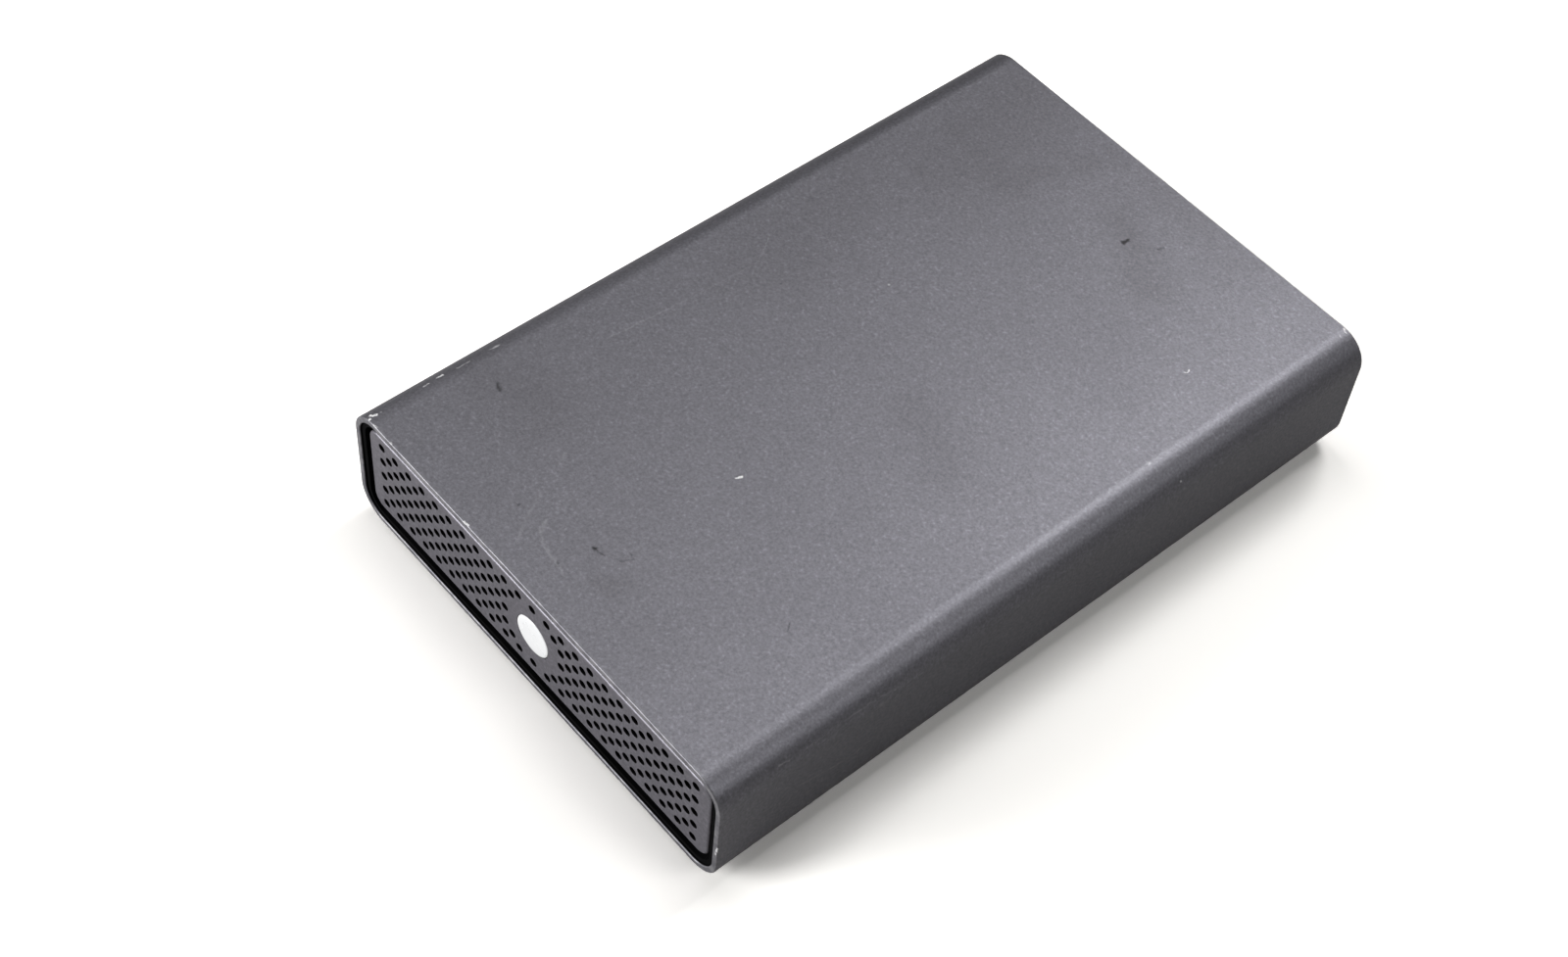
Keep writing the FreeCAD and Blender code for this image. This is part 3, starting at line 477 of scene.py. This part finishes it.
def rounded_outline(width, height, radius, arc=12, rest=0.25):
    """Points round a rounded rectangle, with one more point on each flat beside every corner."""
    points = []
    for k, (sx, sz) in enumerate(((1, 1), (-1, 1), (-1, -1), (1, -1))):
        cx = sx * (width / 2 - radius)
        cz = sz * (height / 2 - radius)
        corner = []
        for j in range(arc + 1):
            angle = math.pi / 2 * (k + j / arc)
            corner.append(Vector((cx + radius * math.cos(angle), cz + radius * math.sin(angle))))
        first = Vector((math.sin(math.pi / 2 * k), -math.cos(math.pi / 2 * k)))
        last = Vector((-math.sin(math.pi / 2 * (k + 1)), math.cos(math.pi / 2 * (k + 1))))
        points += [corner[0] + first * rest] + corner + [corner[-1] + last * rest]
    return points


def circle(x, z, radius, count):
    step = 2 * math.pi / count
    turns = [k * step for k in range(count)]
    return [Vector((x + radius * math.cos(a), z + radius * math.sin(a))) for a in turns]


def add_ring(bm, points, y):
    """Closed loop of vertices in a plane across Y; heights count from the middle of the sleeve."""
    return [bm.verts.new((p.x, y, MID_Z + p.y)) for p in points]


def bridge(bm, a, b):
    count = len(a)
    for k in range(count):
        bm.faces.new((a[k], a[(k + 1) % count], b[(k + 1) % count], b[k]))


def inside(point, loop):
    """Whether a point lies in a convex loop."""
    mid = sum(loop, Vector((0.0, 0.0))) / len(loop)
    pairs = zip(loop, loop[1:] + loop[:1])
    return any(intersect_point_tri_2d(point, mid, a, b) for a, b in pairs)


def fill(bm, outer, holes):
    """Flat face between an outer ring of vertices and the rings of its holes."""
    rings = [outer] + holes
    verts = [v for ring in rings for v in ring]
    flat = [Vector((v.co.x, v.co.z)) for v in verts]
    edges = []
    start = 0
    for ring in rings:
        edges += [(start + k, start + (k + 1) % len(ring)) for k in range(len(ring))]
        start += len(ring)
    found = delaunay_2d_cdt(flat, edges, [], 1, 1e-6)
    loops = [[Vector((v.co.x, v.co.z)) for v in ring] for ring in holes]
    centres = [(sum(loop, Vector((0.0, 0.0))) / len(loop), loop) for loop in loops]
    reach = [(c, max((p - c).length for p in loop), loop) for c, loop in centres]
    source = [ids[0] for ids in found[3]]
    for tri in found[2]:
        corners = [found[0][i] for i in tri]
        mid = sum(corners, Vector((0.0, 0.0))) / 3
        if any((mid - c).length < far and inside(mid, loop) for c, far, loop in reach):
            continue
        bm.faces.new([verts[source[i]] for i in tri])


def eased(size, steps, power=1.4):
    """Broken edge as (inset, depth) pairs, from the face round to the wall."""
    pairs = []
    for k in range(steps + 1):
        angle = math.pi / 2 * k / steps
        inset = size - size * math.sin(angle) ** (2 / power)
        depth = size - size * math.cos(angle) ** (2 / power)
        pairs.append((inset, depth))
    return pairs


# Painted shade on the plate's eased edge, which dims its highlight, and (depth, painted shade) down its
# wall
EDGE_SHADE = 0.15
PLATE_WALL = ((PANEL_EDGE + 0.1, 0.1), (1.1, 0.6), (PANEL_T, 1.0))


def plate(end, holes, openings):
    """Perforated end plate with eased edges and softened hole rims, and painted shade on its edge, outer
    wall and hole walls.
    """
    bm = bmesh.new()
    painted_shade = bm.verts.layers.float.new("painted_shade")
    face_y = end * (LENGTH / 2 - PANEL_RECESS)
    inward = -end

    def ring(points, depth, dark):
        loop = add_ring(bm, points, face_y + inward * depth)
        for vert in loop:
            vert[painted_shade] = dark
        return loop

    def outline(inset, depth, dark=0.0):
        points = rounded_outline(PANEL_W - 2 * inset, PANEL_H - 2 * inset, PANEL_R - inset)
        return ring(points, depth, dark)

    def pierce(grow):
        # Hole rings as (growth, depth, painted shade): the hole wall is painted near black from the lip
        # inward
        levels = [(HOLE_LIP + REST, 0.0, 0.0), (HOLE_LIP, 0.0, 0.0)]
        levels += [(HOLE_LIP * 0.3, HOLE_LIP * 0.3, 0.4), (0.0, HOLE_LIP, 1.0), (0.0, PANEL_T, 1.0)]
        loops = [ring(grow(g), depth, dark) for g, depth, dark in levels]
        for a, b in zip(loops, loops[1:]):
            bridge(bm, a, b)
        face_holes.append(loops[0])
        back_holes.append(loops[-1])

    rings = [outline(PANEL_EDGE + REST, 0.0)]
    rings += [outline(inset, depth, EDGE_SHADE) for inset, depth in eased(PANEL_EDGE, 6, power=1.8)]
    rings += [outline(0.0, depth, dark) for depth, dark in PLATE_WALL]
    face_holes = []
    back_holes = []
    for x, z in holes:
        pierce(round_opening(x, z, HOLE_R, HOLE_SIDES))
    for grow in openings:
        pierce(grow)
    for a, b in zip(rings, rings[1:]):
        bridge(bm, a, b)
    fill(bm, rings[0], face_holes)
    fill(bm, rings[-1], back_holes)
    return bm


def lattice():
    """Staggered vent places about the middle of a plate."""
    places = []
    for row in range(ROWS):
        count = FULL_ROW - row % 2
        z = (row - (ROWS - 1) / 2) * ROW_PITCH
        places += [((k - (count - 1) / 2) * HOLE_PITCH, z) for k in range(count)]
    return places


def lathe(bm, profile, root, axis, sides=64):
    """Turned form: the profile holds (radius, distance along the axis from the root)."""
    turn = Vector(axis).to_track_quat("Z", "X").to_matrix().to_4x4()
    stand = Matrix.Translation(root) @ turn
    rings = []
    for radius, along in profile:
        loop = circle(0.0, 0.0, radius, sides)
        rings.append([bm.verts.new(stand @ Vector((*p, along))) for p in loop])
    for a, b in zip(rings, rings[1:]):
        bridge(bm, a, b)
    bm.faces.new(rings[0])
    bm.faces.new(rings[-1])


def round_opening(x, z, radius, sides=64):
    return lambda grow: circle(x, z, radius + grow, sides)


def slot_opening(x, z, width, height, radius):
    def loop(grow):
        points = rounded_outline(width + 2 * grow, height + 2 * grow, radius + grow, arc=10, rest=0.02)
        return [p + Vector((x, z)) for p in points]
    return loop


# Sleeve

# Wear on the rims, from outside to inside, which on the inner chamfer also paints glints where it catches
# the light, and the rear's share of the front's
BEHIND_WEAR = 0.25
OUTER_WEAR = 0.5
FLAT_WEAR = 0.9
INNER_WEAR_AND_GLINT = 0.8
REAR_SHARE = 0.4

# Painted shade on the chamfers, which dims their highlights, and depths inside where the painted shade on
# the inner wall starts to fade and where it ends
CHAMFER_SHADE = 0.2
DARK_DEPTH = 3.0
CLEAR_DEPTH = 6.0

# Distances past the chamfers of the next rings, and of the ring where wear on the outer wall ends
RIM_STRIP = 0.1
WALL_STRIP = 0.12
WEAR_END = 0.6


def sleeve():
    """Extruded sleeve as one band of rings: outer wall, rims and inner wall."""
    bm = bmesh.new()
    worn = bm.verts.layers.float.new("edge")
    painted_shade = bm.verts.layers.float.new("painted_shade")
    half = LENGTH / 2

    def ring(inset, y, wear, dark):
        points = rounded_outline(WIDTH - 2 * inset, HEIGHT - 2 * inset, CORNER_R - inset, arc=20)
        loop = add_ring(bm, points, y)
        for vert in loop:
            vert[worn] = wear
            vert[painted_shade] = dark
        return loop

    chamfer = eased(RIM, 6)
    flat = (RIM + RIM_STRIP, WALL / 2, WALL - RIM - RIM_STRIP)
    stations = [(0.0, RIM + WEAR_END, 0.0, 0.0), (0.0, RIM + WALL_STRIP, BEHIND_WEAR, 0.0)]
    stations += [(inset, depth, OUTER_WEAR, CHAMFER_SHADE) for inset, depth in reversed(chamfer)]
    stations += [(inset, 0.0, FLAT_WEAR, 0.0) for inset in flat]
    stations += [(WALL - inset, depth, INNER_WEAR_AND_GLINT, CHAMFER_SHADE) for inset, depth in chamfer]
    # Painted shade on the inner wall just inside the rim, fading out towards CLEAR_DEPTH
    stations += [(WALL, depth, 0.0, 1.0) for depth in (RIM + RIM_STRIP, DARK_DEPTH)]
    stations.append((WALL, CLEAR_DEPTH, 0.0, 0.0))
    rings = [ring(inset, -half + depth, wear, dark) for inset, depth, wear, dark in stations]
    for inset, depth, wear, dark in reversed(stations):
        rings.append(ring(inset, half - depth, wear * REAR_SHARE, dark))
    for a, b in zip(rings, rings[1:] + rings[:1]):
        bridge(bm, a, b)
    return bm


finish_piece(sleeve(), "shell", shell_metal, "housing", "anodised_grey", "sleeve")


# End plates

front_holes = [(x, z) for x, z in lattice() if math.hypot(x, z) > BARE_R]
front_window = [round_opening(0.0, 0.0, LIGHT_R + LIGHT_FIT)]
grille = plate(-1, front_holes, front_window)
finish_piece(grille, "front_grille", plate_metal, "housing", "anodised_grey", "front_panel")

# Openings in the rear plate: place from its middle, then radius, or width, height and corner radius
JACK = (-30.0, PORT_Z - MID_Z, 4.2)
BUTTON = (10.0, PORT_Z - MID_Z, 3.5)
USB = (-10.0, USB_Z - MID_Z, 9.34, 3.66, 1.8)
LOCK = (30.0, 0.0, 7.0, 3.0, 0.3)

rear_holes = [(x, z) for x, z in lattice() if abs(x) > PORT_SIDE]
rear_ports = [round_opening(*JACK), round_opening(*BUTTON), slot_opening(*USB), slot_opening(*LOCK)]
back = plate(1, rear_holes, rear_ports)
finish_piece(back, "rear_plate", plate_metal, "housing", "anodised_grey", "rear_panel")


# Light window, power button, inlet pin and feet, as (radius, distance from the outer end)

LENS_FACE = -LENGTH / 2 + PANEL_RECESS - LIGHT_PROUD
LENS_PROFILE = (
    (1.2, 0.0), (2.6, 0.004), (3.9, 0.02), (4.8, 0.06), (5.2, 0.11), (5.4, 0.19),
    (LIGHT_R, 0.34), (LIGHT_R, 1.6), (LIGHT_R, 1.7), (5.6, 1.7), (6.9, 1.7), (7.0, 1.8),
    (7.0, 2.6), (6.9, 2.7), (2.4, 2.7), (2.3, 2.8), (2.3, 5.1),
)
lens = bmesh.new()
lathe(lens, LENS_PROFILE, (0.0, LENS_FACE, MID_Z), (0, 1, 0))
finish_piece(lens, "light_window", lens_plastic, "housing", "white_lens", "status_lens")

BUTTON_FACE = LENGTH / 2 - PANEL_RECESS + BUTTON_PROUD
BUTTON_PROFILE = (
    (0.5, 0.15), (1.2, 0.13), (1.8, 0.08), (2.3, 0.02), (2.6, 0.0), (2.85, 0.02),
    (3.05, 0.09), (3.16, 0.19), (BUTTON_R, 0.32), (BUTTON_R, 2.1), (BUTTON_R, 2.2),
    (3.3, 2.2), (4.3, 2.2), (4.4, 2.3), (4.4, 3.1), (4.3, 3.2),
)
button = bmesh.new()
lathe(button, BUTTON_PROFILE, (BUTTON[0], BUTTON_FACE, MID_Z + BUTTON[1]), (0, -1, 0))
finish_piece(button, "push_button", button_plastic, "button", "button_plastic", "power_button")

PIN_PROFILE = (
    (0.3, 0.0), (0.6, 0.06), (0.8, 0.16), (0.95, 0.32), (1.03, 0.55),
    (PIN_R, 0.8), (PIN_R, 7.9), (PIN_R, 8.0),
)
pin = bmesh.new()
lathe(pin, PIN_PROFILE, (JACK[0], PIN_TIP, MID_Z + JACK[1]), (0, -1, 0), sides=32)
finish_piece(pin, "inlet_pin", contact_metal, "housing", "contact_metal", "dc_jack_pin")

FOOT_PROFILE = (
    (1.5, 0.06), (3.2, 0.05), (4.2, 0.02), (4.8, 0.0), (5.2, 0.0), (5.5, 0.05),
    (5.8, 0.2), (5.95, 0.4), (FOOT_R, 0.65), (FOOT_R, 1.4), (FOOT_R, FOOT_H),
)
feet = bmesh.new()
for x in (-FOOT_X, FOOT_X):
    for y in (-FOOT_Y, FOOT_Y):
        lathe(feet, FOOT_PROFILE, (x, y, 0.0), (0, 0, 1))
finish_piece(feet, "foot_pads", rubber, "housing", "rubber", "feet")


# Floor, light and camera

FLOOR_HALF = 0.38
FLOOR_TINT = (1.0, 0.985, 0.955)
FLOOR_BOUNCE = 0.34
FLOOR_SEEN = 1.6
FLOOR_MIRRORED = 0.1
SKY_LIGHT = 0.01
SKY_SEEN = 1.0

# Name, place, width, height and power of each lamp
LAMPS = (
    ("back_softbox", (-0.05, 0.55, 0.8), 0.35, 0.35, 3.7),
    ("top_softbox", (-0.25, 0.1, 1.0), 0.35, 0.35, 1.6),
    ("right_softbox", (0.7, 0.25, 0.6), 0.4, 0.4, 1.6),
    ("left_softbox", (-0.8, 0.0, 0.6), 0.5, 0.5, 0.8),
    ("front_softbox", (-0.45, -1.0, 0.45), 0.5, 0.5, 7.4),
    ("low_softbox", (-0.5, -0.95, 0.2), 0.4, 0.25, 7.5),
)


def floor_material():
    """White table that keeps the soft shadow of the part."""
    mat = bpy.data.materials.new("white_table")
    mat.use_nodes = True
    tree = mat.node_tree
    tree.nodes.clear()
    out = tree.nodes.new("ShaderNodeOutputMaterial")
    matt = tree.nodes.new("ShaderNodeBsdfDiffuse")
    path = tree.nodes.new("ShaderNodeLightPath")
    mirrored = maths(tree, "MAXIMUM", path.outputs["Is Glossy Ray"], path.outputs["Is Transmission Ray"])
    dimmed = maths(tree, "MULTIPLY", mirrored, FLOOR_MIRRORED)
    seen = maths(tree, "MAXIMUM", path.outputs["Is Camera Ray"], dimmed)
    white = tree.nodes.new("ShaderNodeCombineColor")
    for channel, tint in zip(white.inputs, FLOOR_TINT):
        tone = remap(tree, seen, 0.0, 1.0, FLOOR_BOUNCE * tint, FLOOR_SEEN * tint)
        tree.links.new(tone, channel)
    tree.links.new(white.outputs["Color"], matt.inputs["Color"])
    tree.links.new(matt.outputs["BSDF"], out.inputs["Surface"])
    return mat


def make_floor():
    bm = bmesh.new()
    bmesh.ops.create_grid(bm, x_segments=1, y_segments=1, size=FLOOR_HALF)
    mesh = bpy.data.meshes.new("table_top")
    bm.to_mesh(mesh)
    bm.free()
    mesh.materials.append(floor_material())
    floor = bpy.data.objects.new("table_top", mesh)
    bpy.context.scene.collection.objects.link(floor)


def make_world():
    world = bpy.data.worlds.new("studio")
    bpy.context.scene.world = world
    world.use_nodes = True
    tree = world.node_tree
    tree.nodes.clear()
    out = tree.nodes.new("ShaderNodeOutputWorld")
    sky = tree.nodes.new("ShaderNodeBackground")
    path = tree.nodes.new("ShaderNodeLightPath")
    sky.inputs["Color"].default_value = (1.0, 1.0, 1.0, 1.0)
    strength = remap(tree, path.outputs["Is Camera Ray"], 0.0, 1.0, SKY_LIGHT, SKY_SEEN)
    tree.links.new(strength, sky.inputs["Strength"])
    tree.links.new(sky.outputs["Background"], out.inputs["Surface"])


def make_lamp(name, where, width, height, power):
    """Rectangular lamp aimed at the middle of the floor."""
    data = bpy.data.lights.new(name, "AREA")
    data.shape = "RECTANGLE"
    data.size = width
    data.size_y = height
    data.energy = power
    lamp = bpy.data.objects.new(name, data)
    lamp.location = where
    lamp.rotation_euler = (-Vector(where)).to_track_quat("-Z", "Y").to_euler()
    bpy.context.scene.collection.objects.link(lamp)


def make_camera():
    """Camera at the photograph's place, with its roll."""
    back = Vector((
        math.sin(AZIMUTH) * math.cos(ELEVATION),
        -math.cos(AZIMUTH) * math.cos(ELEVATION),
        math.sin(ELEVATION),
    ))
    right = (-back).cross(Vector((0, 0, 1))).normalized()
    up = right.cross(-back)
    across = right * math.cos(ROLL) + up * math.sin(ROLL)
    upward = up * math.cos(ROLL) - right * math.sin(ROLL)
    data = bpy.data.cameras.new("camera")
    data.sensor_fit = "HORIZONTAL"
    data.sensor_width = SENSOR_W
    data.lens = SENSOR_W * FOCAL_PX / PHOTO_W
    data.clip_start = 0.01
    camera = bpy.data.objects.new("camera", data)
    turn = Matrix((across, upward, back)).transposed().to_4x4()
    camera.matrix_world = Matrix.Translation((TARGET + back * DISTANCE) * MM) @ turn
    bpy.context.scene.collection.objects.link(camera)
    bpy.context.scene.camera = camera


make_floor()
make_world()
for lamp in LAMPS:
    make_lamp(*lamp)
make_camera()
bpy.context.scene.view_settings.view_transform = "Standard"
